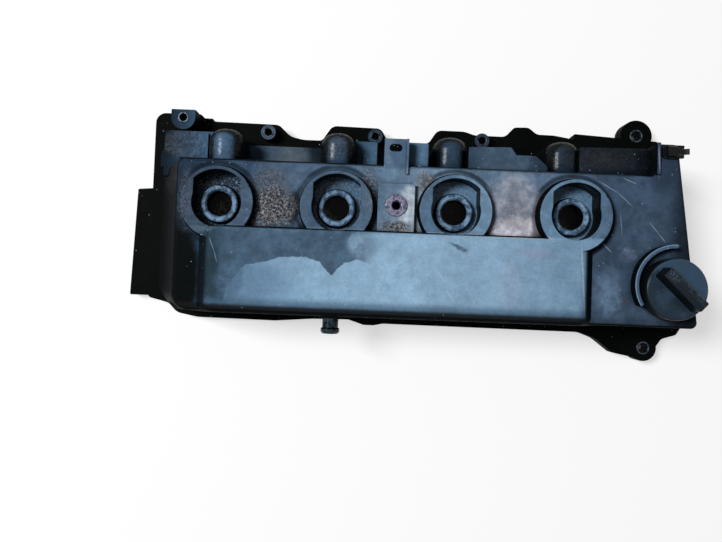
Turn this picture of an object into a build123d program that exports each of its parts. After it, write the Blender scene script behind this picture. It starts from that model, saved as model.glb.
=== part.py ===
"""Moulded valve cover of a four-cylinder engine with its seals, sleeves, separator plate and filler cap.

Millimetres. X runs along the row of injector wells, Y to the back, Z up.
The origin is the middle of the row on the joint face of the cylinder head.
"""

import os

from build123d import *

# ---- driving dimensions -------------------------------------------------------------------

# the row of wells
well_count = 4
well_pitch = 96.0

# heights above the joint face
rim_z = 1.2
flange_z = 12.0
shelf_z = 20.0
bolt_pad_z = 21.0
deck_z = 67.0
collar_z = 73.0
raised_z = 75.0
wall = 3.0

# plan of the flange, measured from the end wells in X and from the row in Y
left_reach = 74.0
right_reach_back = 110.0
right_reach_front = 124.0
flange_front_y = -96.5
flange_back_y = 81.5
waist_y = 68.4
left_top_y = 88.0

# shell above the flange
flange_width = 9.0
deck_right_reach_back = 85.0
deck_right_reach_front = 104.5
deck_back_y = 37.0
corner_back_y = 63.0
corner_left_reach = 66.5
corner_rib_width = 2.6
corner_rib_height = 2.0
end_lean = 31.0
right_lean = 12.0
deck_corner_left = 8.0
deck_corner_front = 14.0
deck_corner_right = 5.0
deck_round = 4.0

# separator plenum along the front
plenum_left_reach = 4.0
plenum_right_reach = 8.0
plenum_back_y = -18.0
plenum_ramp = 41.0
plenum_foot_z = 42.0
plenum_front_round = 7.0
plenum_back_round = 3.5
plenum_end_slope = 9.0
plenum_proud = 0.8

# injector wells
collar_radius = 29.5
collar_draft = 2.0
collar_wall = 3.0
collar_round = 1.2
pocket_radius = 20.0
pocket_floor_z = 58.0
seal_seat_radius = 15.5
seal_seat_z = 48.0
seal_bore_radius = 10.3
seal_top_z = 64.0
seat_lip = 2.5
seal_relief = 1.4
seal_brim = 0.8
seal_lip = 0.4

# cam domes on the back shelf
dome_offset = -1.5
dome_radius = 15.0
dome_axis_z = 38.0
dome_end_y = 67.0
dome_round = 11.0

# flat-topped blocks on the back shelf, from left to right
left_block_z = 32.0
left_block_back_y = 67.0
left_block_inset = 4.0
left_block_rib_x = 20.5
seat_block_z = 31.0
seat_block_back_y = 64.0
panel_z = 58.0
panel_back_y = 57.5
recess_z = 52.0
block_corner = 2.0

# fixings
bolt_offset_x = 30.2
bolt_y = 71.7
bolt_pad_radius = 6.6
sleeve_radius = 4.7
sleeve_bore_radius = 3.3
sleeve_proud = 0.4
metal_edge = 0.3
corner_sleeve_radius = 5.9
corner_sleeve_bore_radius = 4.5
left_boss_offset = (-43.6, 79.5)
left_boss_radius = 10.6
left_boss_back_y = 86.5
left_boss_z = 30.0
back_lug_offset = (76.7, 83.7)
back_lug_radius = 14.4
front_lug_offset = (87.7, -109.0)
front_lug_radius = 12.0
lug_z = 13.0

# square boss with its threaded insert, midway between the two inner wells
square_boss_width = 29.7
square_boss_z = 71.0
square_boss_back_y = 17.0
insert_y = 3.0
insert_radius = 5.5
insert_head_radius = 8.8
insert_head_height = 1.0
insert_bore_radius = 3.4
insert_length = 14.0
insert_mouth = 0.8

# bracket with the oval slot
bracket_width = 19.8
bracket_end_y = 58.0
bracket_thickness = 4.0
bracket_lip = 1.8
bracket_lip_height = 1.6
bracket_offset = -0.9
slot_length = 10.4
slot_width = 6.2
slot_y = 50.5

# oil filler
filler_offset = (78.3, -56.1)
neck_radius = 21.5
neck_bore_radius = 17.5
neck_top_z = 72.5
neck_drop = 12.0
cap_radius = 24.6
cap_top_z = 82.0
cap_skirt_z = 70.5
cap_wall = 2.2
cap_plug_clearance = 0.6
cap_plug_depth = 14.0
cap_gasket_thickness = 2.0
cap_rim_round = 2.0
grip_width = 9.4
grip_height = 12.0
grip_angle = -43.4
grip_end_gap = 9.7
grip_corner = 1.5
grip_round = 0.9
grip_draft = 0.6
guard_offset = (81.2, -53.0)
guard_radius = 31.4
guard_wall = 3.0
guard_start = 90.0
guard_sweep = 120.0

# hose stub on the front
stub_offset = -2.0
stub_z = 54.0
stub_radius = 6.6
stub_bead_radius = 7.8
stub_bore_radius = 4.8
stub_end_y = -103.0
stub_inner_y = -83.0
stub_root_radius = 7.4
stub_bead_length = 5.0
stub_bead_ramp = 1.0
stub_bead_crown = 2.5
stub_boss_radius = 10.0
stub_boss_proud = 2.0

# harness clip on the back right corner of the deck
clip_offset = (77.5, 55.8)
clip_length = 12.5
clip_width = 11.0
clip_thickness = 2.0
clip_stem_radius = 3.0
clip_stem_length = 8.0
clip_corner = 3.0
clip_lug_length = 6.0
clip_lug_width = 2.5
saddle_length = 8.0
saddle_width = 8.4
saddle_height = 5.0
strap_width = 4.6
strap_thickness = 1.2
strap_clearance = 0.3
strap_inner_end = 5.0
strap_tail = 7.0
strap_rise = 1.5

# side ear at the left
ear_reach = 17.0
ear_back_y = 19.5
ear_front_y = -78.5
ear_bottom_z = 4.0
ear_top_z = 10.0
ear_corner = 1.5

# seal groove and gasket
groove_inset = 3.0
groove_width = 3.5
groove_depth = 4.5
gasket_clearance = 0.2
gasket_round = 0.8

# separator plate under the plenum
plate_top_z = 44.0
plate_thickness = 3.0
plate_clearance = 0.4
plate_corner = 4.0
plate_rib_width = 2.0
plate_rib_height = 5.0
drain_length = 16.0
drain_width = 4.0
inlet_radius = 8.0
screw_count = 5
screw_margin = 12.0
screw_radius = 2.0
screw_hole_clearance = 0.25
screw_head_radius = 4.0
screw_head_height = 2.4
screw_length = 12.0
post_radius = 4.5

# ribs under the deck
rib_width = 2.0
rib_depth = 8.0

# ---- values that follow from them ---------------------------------------------------------

row_half = well_pitch * (well_count - 1) / 2
well_x = [i * well_pitch - row_half for i in range(well_count)]
first_x, last_x = well_x[0], well_x[-1]
well_tops = [collar_z] * (well_count - 1) + [raised_z]
bolt_x = [x + bolt_offset_x for x in well_x[:-1]]
left_x = first_x - left_reach
plenum_left_x = first_x - plenum_left_reach
plenum_right_x = last_x + plenum_right_reach
left_boss = (first_x + left_boss_offset[0], left_boss_offset[1])
back_lug = (last_x + back_lug_offset[0], back_lug_offset[1])
front_lug = (last_x + front_lug_offset[0], front_lug_offset[1])
filler = (last_x + filler_offset[0], filler_offset[1])
guard_centre = (last_x + guard_offset[0], guard_offset[1])
corner_left_x = last_x + corner_left_reach
clip_place = (last_x + clip_offset[0], clip_offset[1])
clip_edge_x = clip_place[0] + clip_length / 2 + 1
clip_lug_y = strap_width / 2 + strap_clearance + clip_lug_width / 2
strap_z = deck_z + clip_thickness
strap_start_x = clip_place[0] - strap_inner_end
strap_bend_x = clip_edge_x + clip_lug_length / 2
strap_end_x = clip_edge_x + strap_tail
saddle_mid_z = strap_z + saddle_height / 2 - 1
wall_inset = flange_width + wall
cavity_left_x = left_x + wall_inset
cavity_front_y = flange_front_y + wall_inset
cavity_back_y = waist_y - wall_inset
cavity_right_back_x = last_x + right_reach_back - wall_inset
cavity_right_front_x = last_x + right_reach_front - wall_inset
deck_front_y = cavity_front_y - wall
plenum_front_y = deck_front_y - plenum_proud
stub_x = well_x[1] + stub_offset
stub_boss_y = plenum_front_y - stub_boss_proud
stub_length = stub_inner_y - stub_end_y
stub_root_length = stub_inner_y - stub_boss_y
stub_bead_from = stub_length - stub_bead_length
boss_x = (well_x[1] + well_x[2]) / 2
slot_x = boss_x - 1.5
bracket_x = boss_x + bracket_offset
dome_x = [x + dome_offset for x in well_x]
boss_length = square_boss_back_y - plenum_back_y
boss_mid_y = (square_boss_back_y + plenum_back_y) / 2
inner_deck_z = deck_z - wall
chamber_left_x = plenum_left_x - 2 * wall
chamber_right_x = plenum_right_x - wall / 3
chamber_length = chamber_right_x - chamber_left_x
chamber_depth = plenum_back_y - cavity_front_y
chamber_mid_x = (chamber_left_x + chamber_right_x) / 2
chamber_mid_y = (plenum_back_y + cavity_front_y) / 2
screw_step = (chamber_length - 2 * screw_margin) / (screw_count - 1)
screw_x = [chamber_left_x + screw_margin + i * screw_step for i in range(screw_count)]
screw_rows = (plenum_back_y - wall - post_radius, cavity_front_y + 1.5 * post_radius)
screw_places = [(x, y) for x in screw_x for y in screw_rows]
plate_bottom_z = plate_top_z - plate_thickness
rib_x = [(a + b) / 2 + 18 for a, b in zip(well_x, well_x[1:])] + [first_x - 33, last_x + 40]
rib_run = deck_back_y - plenum_back_y
rib_mid_y = (deck_back_y + plenum_back_y) / 2
beyond = 2 * (last_x + right_reach_front + left_reach)


# ---- outlines -----------------------------------------------------------------------------


def rounded(points):
    """A closed face through (x, y, corner radius) points."""
    with BuildSketch() as face:
        with BuildLine():
            FilletPolyline(
                *[(x, y) for x, y, _ in points],
                radius=[radius for _, _, radius in points],
                close=True,
            )
        make_face()
    return face.sketch


def flange_outline():
    """The whole foot of the cover, with its lobes round the bolts and behind the inner domes."""
    front, back = flange_front_y, flange_back_y
    right_back, right_front = last_x + right_reach_back, last_x + right_reach_front
    return rounded(
        [
            (first_x - 28, front, 30),
            (first_x - 47, front + 3.5, 12),
            (first_x - 55, front + 12, 8),
            (left_x, front + 16.5, 4),
            (left_x, left_top_y, 9),
            (left_boss[0] + left_boss_radius, left_top_y, 2),
            (left_boss[0] + left_boss_radius + 3, back + 3.1, 2),
            (left_boss[0] + 2 * left_boss_radius, back + 3.1, 0.6),
            (left_boss[0] + 2 * left_boss_radius + 0.5, back + 0.5, 0.6),
            (bolt_x[0] - 9, back, 20),
            (bolt_x[0] + 8, back - 0.3, 8),
            (bolt_x[0] + 19, waist_y + 2.5, 14),
            (bolt_x[0] + 31, waist_y, 30),
            (well_x[1] - 18, waist_y, 5),
            (well_x[1] - 9, back + 0.8, 8),
            (bolt_x[1] + 5, back, 7),
            (bolt_x[1] + 12, waist_y + 1.5, 5),
            (well_x[2] - 17, waist_y + 1.2, 5),
            (well_x[2] - 9, back + 0.5, 8),
            (well_x[2] + 16, back + 0.3, 20),
            (bolt_x[2] - 5, back - 2.8, 20),
            (bolt_x[2] + 23, back - 3, 8),
            (bolt_x[2] + 31, back + 6, 5),
            (bolt_x[2] + 44, back + 6.4, 6),
            (bolt_x[2] + 52, back + 0.3, 8),
            (last_x + 2, back, 20),
            (last_x + 19.5, back - 2.8, 1),
            (last_x + 20.5, back + 2.2, 1),
            (right_back - 14, back - 2, 4),
            (right_back, back - 10, 7),
            (right_front, front + 10, 8),
            (right_front - 6, front, 6),
            (front_lug[0] + 17, front - 4, 6),
            (front_lug[0] + 12, front_lug[1] + 1, 4),
            (front_lug[0] - 8, front_lug[1] - 9, 6),
            (front_lug[0] - 27, front_lug[1] - 5.5, 8),
            (last_x + 45, front - 6, 20),
            (last_x + 30, front - 0.6, 30),
            (bolt_x[1] + 13, front + 0.2, 8),
            (bolt_x[1] + 5, front - 1.6, 4),
            (bolt_x[1] - 4, front - 1.6, 4),
            (bolt_x[1] - 18, front + 2.8, 8),
            (bolt_x[0] + 46, front + 2.3, 60),
            (bolt_x[0] + 12, front - 0.6, 30),
        ]
    )


def cavity_outline(grow=0.0):
    """The open underside at the joint face, grown outwards by a given amount."""
    return rounded(
        [
            (cavity_left_x - grow, cavity_back_y + grow, 10 + grow),
            (cavity_left_x - grow, cavity_front_y + 18, 8 + grow),
            (cavity_left_x + 16, cavity_front_y - grow, 14 + grow),
            (cavity_right_front_x + grow, cavity_front_y - grow, 10 + grow),
            (cavity_right_back_x + grow, cavity_back_y + grow, 10 + grow),
        ]
    )


def shell_outline(level, grow=0.0):
    """The deck's side walls at a height: they lean in as they rise, most at the left end."""
    rise = (level - flange_z) / (deck_z - flange_z)
    left = cavity_left_x - wall + end_lean * rise
    right_back = last_x + deck_right_reach_back + right_lean * (1 - rise)
    right_front = last_x + deck_right_reach_front + right_lean * (1 - rise)
    return rounded(
        [
            (left - grow, deck_back_y + grow, deck_corner_left + grow),
            (left - grow, deck_front_y - grow, deck_corner_front + 8 * (1 - rise) + grow),
            (right_front + grow, deck_front_y - grow, deck_corner_right + grow),
            (right_back + grow, corner_back_y + grow, deck_corner_right + grow),
            (corner_left_x - grow, corner_back_y + grow, deck_round + grow),
            (corner_left_x - grow, deck_back_y + grow, deck_round - grow),
        ]
    )


def pocket_outline(grow=0.0):
    """A well's pocket: round at the front, straight sides to the back, closed by the thin collar rim."""
    with BuildSketch() as face:
        with Locations((0, collar_radius / 2)):
            Rectangle(2 * (pocket_radius - 1 + grow), collar_radius)
        Circle(collar_radius - collar_wall + min(grow, collar_wall - 0.5), mode=Mode.INTERSECT)
        Circle(pocket_radius + grow)
    return face.sketch


# ---- forms that are used once outside and once, thinner, inside ---------------------------


def shell(bottom, top, grow=0.0):
    with BuildPart() as form:
        for level in (bottom, top):
            with BuildSketch(Plane.XY.offset(level)):
                add(shell_outline(level, grow))
        loft(ruled=True)
        if not grow:
            fillet(form.faces().sort_by(Axis.Z)[-1].edges(), deck_round)
    return form.part


def plenum(inset=0.0):
    """A box with a long ramp at the left end, a short slope at the right end and a round front edge."""
    left, right = plenum_left_x, plenum_right_x
    foot = left - plenum_ramp + inset
    drop = raised_z - deck_z
    with BuildPart() as form:
        with BuildSketch(Plane.XZ.offset(-plenum_back_y + inset)):
            with BuildLine():
                FilletPolyline(
                    (foot, flange_z - 1),
                    (foot, plenum_foot_z),
                    (left + inset * 0.4, raised_z - inset),
                    (right - inset * 0.4, raised_z - inset),
                    (right + 3 * plenum_end_slope - inset, raised_z - 3 * drop - inset),
                    (right + 3 * plenum_end_slope - inset, flange_z - 1),
                    radius=[0, 10, 12, 11, 0, 0],
                    close=True,
                )
            make_face()
        extrude(amount=plenum_back_y - plenum_front_y - 2 * inset)
        front = form.faces().sort_by(Axis.Y)[0]
        back = form.faces().sort_by(Axis.Y)[-1]
        shown = plenum_foot_z - 15
        fillet([e for e in front.edges() if e.center().Z > shown], plenum_front_round - inset)
        if not inset:
            fillet([e for e in back.edges() if e.center().Z > shown], plenum_back_round)
    return form.part


def dome(x, inset=0.0):
    """A half-round hump along Y with a rounded back end."""
    radius = dome_radius - inset
    start = deck_back_y - dome_radius
    with BuildPart() as form:
        with BuildSketch(Plane.XZ.offset(-start)):
            with Locations((x, dome_axis_z)):
                Circle(radius)
            with Locations((x, (flange_z + dome_axis_z) / 2)):
                Rectangle(2 * radius, dome_axis_z - flange_z)
        extrude(amount=start - dome_end_y + 2 * inset)
        if not inset:
            end = form.faces().sort_by(Axis.Y)[-1]
            fillet([e for e in end.edges() if e.center().Z > flange_z + 1], dome_round)
    return form.part


def back_blocks():
    """Flat-topped blocks behind the deck, as (outline, top height)."""
    start = deck_back_y - 2 * dome_radius / 3
    corner = block_corner
    left_block = [
        (cavity_left_x + left_block_inset, start, 0),
        (dome_x[0], start, 0),
        (dome_x[0], left_block_back_y, corner),
        (cavity_left_x + left_block_inset, left_block_back_y, corner),
    ]
    seat_block = [
        (dome_x[1] + dome_radius - corner, start, 0),
        (bolt_x[1] + corner, start, 0),
        (bolt_x[1] + corner, seat_block_back_y, corner),
        (dome_x[1] + dome_radius - corner, seat_block_back_y, corner),
    ]
    bracket_panel = [
        (bracket_x + bracket_width / 2 - 0.5, start, 0),
        (dome_x[2] - dome_radius - 5.5, start, 0),
        (dome_x[2] - dome_radius - 5.5, panel_back_y, 1),
        (bracket_x + bracket_width / 2 - 0.5, panel_back_y, 1),
    ]
    stepped_panel = [
        (dome_x[2] + dome_radius - corner, start, 0),
        (dome_x[3] - dome_radius - corner, start, 0),
        (dome_x[3] - dome_radius - corner, deck_back_y + 4.8, 1),
        (dome_x[3] - dome_radius - 12, panel_back_y - 7, 1),
        (bolt_x[2] + 21, panel_back_y - 6.8, 1),
        (bolt_x[2] + 16.5, panel_back_y - 0.5, 1),
        (dome_x[2] + dome_radius - corner, panel_back_y - 1.5, 1),
    ]
    recess = [
        (last_x + 10, start, 0),
        (corner_left_x + 2, start, 0),
        (corner_left_x + 2, corner_back_y - 1, 0),
        (last_x + 10, corner_back_y - 2, corner),
    ]
    return [
        (rounded(left_block), left_block_z),
        (rounded(seat_block), seat_block_z),
        (rounded(bracket_panel), panel_z),
        (rounded(stepped_panel), panel_z),
        (rounded(recess), recess_z),
    ]


def collar(x, top):
    """The drafted collar round a well, with a softened rim."""
    with BuildPart() as form:
        with BuildSketch(Plane.XY.offset(inner_deck_z)):
            with Locations((x, 0)):
                Circle(collar_radius + collar_draft)
        with BuildSketch(Plane.XY.offset(top)):
            with Locations((x, 0)):
                Circle(collar_radius)
        loft()
        fillet(form.edges().group_by(Axis.Z)[-1], collar_round)
    return form.part


def chamber_walls():
    """Walls round the separator plate and its screw posts, up to the plenum's roof."""
    with BuildPart() as form:
        with BuildSketch(Plane.XY.offset(plate_top_z)):
            with Locations((chamber_mid_x, chamber_mid_y - 0.5)):
                Rectangle(chamber_length, chamber_depth + 1)
                Rectangle(chamber_length - 2 * wall, chamber_depth - 2 * wall, mode=Mode.SUBTRACT)
            with Locations(*screw_places):
                Circle(post_radius)
        extrude(amount=raised_z - plate_top_z)
        add(plenum(), mode=Mode.INTERSECT)
        with BuildSketch(Plane.XY.offset(plate_top_z)):
            with Locations(*screw_places):
                Circle(screw_radius)
        extrude(amount=screw_length - plate_thickness + 1, mode=Mode.SUBTRACT)
    return form.part


# ---- the moulding -------------------------------------------------------------------------

with BuildPart() as cover:
    # flange and the shell that stands on it
    with BuildSketch(Plane.XY.offset(rim_z)):
        add(flange_outline())
    extrude(amount=flange_z - rim_z)
    add(shell(flange_z, deck_z))

    # back shelf, the blocks on it and the domes that run back from the deck
    with BuildSketch(Plane.XY.offset(flange_z)):
        add(cavity_outline(wall))
        with Locations((0, deck_back_y - beyond / 2)):
            Rectangle(beyond, beyond, mode=Mode.SUBTRACT)
    extrude(amount=shelf_z - flange_z)
    for outline, top in back_blocks():
        with BuildSketch(Plane.XY.offset(flange_z)):
            add(outline)
        extrude(amount=top - flange_z)
    for x in dome_x:
        add(dome(x))
    with BuildSketch(Plane.XY.offset(shelf_z)):
        with Locations((first_x - left_block_rib_x, (left_block_back_y + deck_back_y) / 2 - 2)):
            Rectangle(rib_width, left_block_back_y - deck_back_y)
    extrude(amount=left_block_z + rib_width - shelf_z)

    # raised plenum, square boss and well collars
    add(plenum())
    with BuildSketch(Plane.XY.offset(inner_deck_z)):
        with Locations((boss_x, boss_mid_y)):
            Rectangle(square_boss_width, boss_length + 2 * plenum_back_round)
    extrude(amount=square_boss_z - inner_deck_z)
    for x, top in zip(well_x, well_tops):
        add(collar(x, top))

    # bolt pads, corner lugs, the D-shaped boss at the left and the side ear
    with BuildSketch(Plane.XY.offset(rim_z)):
        with Locations(*[(x, bolt_y) for x in bolt_x]):
            Circle(bolt_pad_radius)
    extrude(amount=bolt_pad_z - rim_z)
    with BuildSketch(Plane.XY.offset(rim_z)):
        with Locations(back_lug):
            Circle(back_lug_radius)
        with Locations(front_lug):
            Circle(front_lug_radius)
    extrude(amount=lug_z - rim_z)
    with BuildSketch(Plane.XY.offset(rim_z)):
        with Locations(left_boss):
            Circle(left_boss_radius)
        with Locations((left_boss[0], left_boss_back_y)):
            Rectangle(2 * left_boss_radius, 2 * (left_boss_back_y - left_boss[1]))
            Rectangle(2 * left_boss_radius, beyond, align=(Align.CENTER, Align.MIN), mode=Mode.SUBTRACT)
    extrude(amount=left_boss_z - rim_z)
    with BuildSketch(Plane.XY.offset(ear_bottom_z)):
        with BuildLine():
            FilletPolyline(
                (left_x + 4, ear_back_y),
                (left_x - ear_reach + 3, ear_back_y - 1.5),
                (left_x - ear_reach, ear_front_y),
                (left_x + 4, ear_front_y),
                radius=[0, ear_corner, ear_corner, 0],
                close=True,
            )
        make_face()
    extrude(amount=ear_top_z - ear_bottom_z)

    # bracket with a lip along its right edge
    bracket_start_y = deck_back_y - 2 * deck_round
    bracket_mid_y = (bracket_end_y + bracket_start_y) / 2
    bracket_run = bracket_end_y - bracket_start_y
    with BuildSketch(Plane.XY.offset(deck_z - bracket_thickness)):
        with Locations((bracket_x, bracket_mid_y)):
            Rectangle(bracket_width, bracket_run)
    extrude(amount=bracket_thickness)
    with BuildSketch(Plane.XY.offset(deck_z - bracket_thickness)):
        with Locations((bracket_x + (bracket_width - bracket_lip) / 2, bracket_mid_y)):
            Rectangle(bracket_lip, bracket_run)
    extrude(amount=bracket_thickness + bracket_lip_height)

    # rib along the step of the back corner
    with BuildSketch(Plane.XY.offset(inner_deck_z)):
        with Locations((corner_left_x + corner_rib_width / 2 + 0.3, (corner_back_y + deck_back_y) / 2)):
            Rectangle(corner_rib_width, corner_back_y - deck_back_y)
    extrude(amount=wall + corner_rib_height)

    # guard rib and neck of the oil filler
    with BuildSketch(Plane.XY.offset(deck_z - wall)):
        with Locations(guard_centre):
            SlotArc(CenterArc((0, 0), guard_radius, guard_start, guard_sweep), height=guard_wall)
    extrude(amount=raised_z - deck_z + wall)
    with BuildSketch(Plane.XY.offset(deck_z - wall)):
        with Locations(filler):
            Circle(neck_radius)
    extrude(amount=neck_top_z - deck_z + wall)

    # boss of the hose stub on the front wall
    with BuildSketch(Plane.XZ.offset(-cavity_front_y)):
        with Locations((stub_x, stub_z)):
            Circle(stub_boss_radius)
    extrude(amount=cavity_front_y - stub_boss_y)

    # the hollow inside: foot, shell, plenum, domes, blocks and collars
    with BuildSketch():
        add(cavity_outline())
    extrude(amount=flange_z + 0.5, mode=Mode.SUBTRACT)
    inner_shell = shell(flange_z, deck_z, -wall)
    add(inner_shell.split(Plane.XY.offset(inner_deck_z), keep=Keep.BOTTOM), mode=Mode.SUBTRACT)
    with BuildSketch(Plane.XY.offset(flange_z)):
        add(cavity_outline())
        with Locations((0, deck_back_y - wall - beyond / 2)):
            Rectangle(beyond, beyond, mode=Mode.SUBTRACT)
    extrude(amount=shelf_z - wall - flange_z, mode=Mode.SUBTRACT)
    add(plenum(wall), mode=Mode.SUBTRACT)
    for x in dome_x:
        add(dome(x, wall), mode=Mode.SUBTRACT)
    for outline, top in back_blocks():
        with BuildSketch(Plane.XY.offset(flange_z)):
            add(outline)
            offset(amount=-wall, kind=Kind.INTERSECTION)
            with Locations((0, cavity_back_y + beyond / 2)):
                Rectangle(beyond, beyond, mode=Mode.SUBTRACT)
        extrude(amount=top - wall - flange_z, mode=Mode.SUBTRACT)
    for x, top in zip(well_x, well_tops):
        with BuildSketch(Plane.XY.offset(inner_deck_z - 1)):
            with Locations((x, 0)):
                Circle(collar_radius - wall)
        extrude(amount=top - wall - inner_deck_z + 1, mode=Mode.SUBTRACT)
    with BuildSketch(Plane.XY.offset(inner_deck_z - 1)):
        with Locations((boss_x, boss_mid_y)):
            Rectangle(square_boss_width - 2 * wall, boss_length - 2 * wall)
    extrude(amount=square_boss_z - deck_z + 1, mode=Mode.SUBTRACT)

    # well bodies that hang from the collars, each with its seal seat
    with BuildSketch(Plane.XY.offset(pocket_floor_z - wall)):
        with Locations(*[(x, 0) for x in well_x]):
            add(pocket_outline(wall))
    extrude(amount=inner_deck_z - pocket_floor_z + wall + 1)
    for x, top in zip(well_x, well_tops):
        with BuildSketch(Plane.XY.offset(inner_deck_z)):
            with Locations((x, 0)):
                add(pocket_outline(wall))
        extrude(amount=top - inner_deck_z)
    with BuildSketch(Plane.XY.offset(seal_seat_z - seat_lip)):
        with Locations(*[(x, 0) for x in well_x]):
            Circle(seal_seat_radius + wall)
    extrude(amount=pocket_floor_z - seal_seat_z + seat_lip)

    add(chamber_walls())

    # boss under the insert and ribs under the deck
    with BuildSketch(Plane.XY.offset(square_boss_z - insert_length - wall)):
        with Locations((boss_x, insert_y)):
            Circle(insert_radius + wall)
    extrude(amount=insert_length + wall - 1)
    with BuildSketch(Plane.XY.offset(inner_deck_z - rib_depth)):
        with Locations(*[(x, rib_mid_y) for x in rib_x]):
            Rectangle(rib_width, rib_run)
    extrude(amount=rib_depth + 1)
    with BuildSketch(Plane.XY.offset(neck_top_z - neck_drop - 2 * wall)):
        with Locations(filler):
            Circle(neck_radius)
    extrude(amount=neck_drop)

    # pockets, seal seats and the holes of every fixing
    for x, top in zip(well_x, well_tops):
        with BuildSketch(Plane.XY.offset(pocket_floor_z)):
            with Locations((x, 0)):
                add(pocket_outline())
        extrude(amount=top - pocket_floor_z + 1, mode=Mode.SUBTRACT)
    with BuildSketch(Plane.XY.offset(seal_seat_z)):
        with Locations(*[(x, 0) for x in well_x]):
            Circle(seal_seat_radius)
    extrude(amount=pocket_floor_z - seal_seat_z + 1, mode=Mode.SUBTRACT)
    with BuildSketch(Plane.XY.offset(seal_seat_z - seat_lip - 1)):
        with Locations(*[(x, 0) for x in well_x]):
            Circle(seal_bore_radius + seal_relief + 0.6)
    extrude(amount=seat_lip + 2, mode=Mode.SUBTRACT)
    with BuildSketch():
        with Locations(*[(x, bolt_y) for x in bolt_x], left_boss):
            Circle(sleeve_radius)
        with Locations(back_lug, front_lug):
            Circle(corner_sleeve_radius)
    extrude(amount=left_boss_z + 1, mode=Mode.SUBTRACT)
    with BuildSketch(Plane.XY.offset(square_boss_z)):
        with Locations((boss_x, insert_y)):
            Circle(insert_radius)
    extrude(amount=-insert_length, mode=Mode.SUBTRACT)
    with BuildSketch(Plane.XY.offset(neck_top_z + 1)):
        with Locations(filler):
            Circle(neck_bore_radius)
    extrude(amount=-neck_drop - 3 * wall, mode=Mode.SUBTRACT)
    with BuildSketch(Plane.XZ.offset(-stub_inner_y)):
        with Locations((stub_x, stub_z)):
            Circle(stub_root_radius)
    extrude(amount=stub_root_length + 1, mode=Mode.SUBTRACT)
    with BuildSketch(Plane.XZ.offset(-stub_inner_y)):
        with Locations((stub_x, stub_z)):
            Circle(stub_bore_radius)
    extrude(amount=-2 * wall, mode=Mode.SUBTRACT)
    with BuildSketch(Plane.XY.offset(deck_z - bracket_thickness - 1)):
        with Locations((slot_x, slot_y)):
            SlotOverall(slot_length, slot_width)
    extrude(amount=bracket_thickness + 2, mode=Mode.SUBTRACT)
    with BuildSketch(Plane.XY.offset(deck_z)):
        with Locations(clip_place):
            Circle(clip_stem_radius)
    extrude(amount=-2 * wall, mode=Mode.SUBTRACT)

    # groove for the gasket in the joint face
    with BuildSketch(Plane.XY.offset(rim_z)):
        add(cavity_outline(groove_inset + groove_width))
        add(cavity_outline(groove_inset), mode=Mode.SUBTRACT)
    extrude(amount=groove_depth, mode=Mode.SUBTRACT)

cover.part.label = "cover_body"

# ---- seals, sleeves and insert ------------------------------------------------------------

with BuildPart() as gasket:
    with BuildSketch():
        add(cavity_outline(groove_inset + groove_width - gasket_clearance))
        add(cavity_outline(groove_inset + gasket_clearance), mode=Mode.SUBTRACT)
    extrude(amount=rim_z + groove_depth)
    rim_edges = gasket.edges().group_by(Axis.Z)[0]
    fillet(rim_edges, gasket_round)
gasket.part.label = "perimeter_gasket"

well_seals = []
for number, x in enumerate(well_x, 1):
    bore, outer = x + seal_bore_radius, x + seal_seat_radius
    with BuildPart() as seal:
        with BuildSketch(Plane.XZ):
            with BuildLine():
                FilletPolyline(
                    (bore + seal_relief, seal_seat_z),
                    (outer, seal_seat_z),
                    (outer, pocket_floor_z),
                    (outer + seal_brim, pocket_floor_z),
                    (outer + seal_brim, pocket_floor_z + 2 * seal_brim),
                    (outer - seal_brim / 2, seal_top_z - seal_brim),
                    (outer - seal_relief, seal_top_z),
                    (bore + seal_relief, seal_top_z),
                    (bore, seal_top_z - seal_relief),
                    (bore, seal_seat_z + 4 * seal_relief),
                    (bore + seal_relief, seal_seat_z + 3 * seal_relief),
                    radius=[0, 0, 0, 0, 0, seal_lip, seal_lip, seal_lip, seal_lip, seal_lip, seal_lip],
                    close=True,
                )
            make_face()
        revolve(axis=Axis((x, 0, 0), (0, 0, 1)))
    seal.part.label = f"well_seal_{number}"
    well_seals.append(seal)

fixings = [(f"back_sleeve_{n}", (x, bolt_y), bolt_pad_z, 0) for n, x in enumerate(bolt_x, 1)]
fixings += [
    ("left_boss_sleeve", left_boss, left_boss_z, 0),
    ("back_lug_sleeve", back_lug, lug_z, 1),
    ("front_lug_sleeve", front_lug, lug_z, 1),
]
sleeves = []
for name, place, top, size in fixings:
    outer = (sleeve_radius, corner_sleeve_radius)[size]
    bore = (sleeve_bore_radius, corner_sleeve_bore_radius)[size]
    with BuildPart() as sleeve:
        with BuildSketch(Plane.XY.offset(rim_z)):
            with Locations(place):
                Circle(outer)
                Circle(bore, mode=Mode.SUBTRACT)
        extrude(amount=top + sleeve_proud - rim_z)
        chamfer(sleeve.edges().filter_by(GeomType.CIRCLE).group_by(Axis.Z)[-1], metal_edge)
    sleeve.part.label = name
    sleeves.append(sleeve)

with BuildPart() as insert:
    with BuildSketch(Plane.XY.offset(square_boss_z)):
        with Locations((boss_x, insert_y)):
            Circle(insert_head_radius)
    extrude(amount=insert_head_height)
    chamfer(insert.edges().group_by(Axis.Z)[-1], metal_edge)
    with BuildSketch(Plane.XY.offset(square_boss_z)):
        with Locations((boss_x, insert_y)):
            Circle(insert_radius)
    extrude(amount=-insert_length)
    with BuildSketch(Plane.XY.offset(square_boss_z + insert_head_height)):
        with Locations((boss_x, insert_y)):
            Circle(insert_bore_radius)
    extrude(amount=-insert_length - insert_head_height, mode=Mode.SUBTRACT)
    chamfer(insert.edges().group_by(Axis.Z)[-1].sort_by(SortBy.RADIUS)[0], insert_mouth)
insert.part.label = "centre_insert"

# ---- separator plate and its screws -------------------------------------------------------

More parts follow.
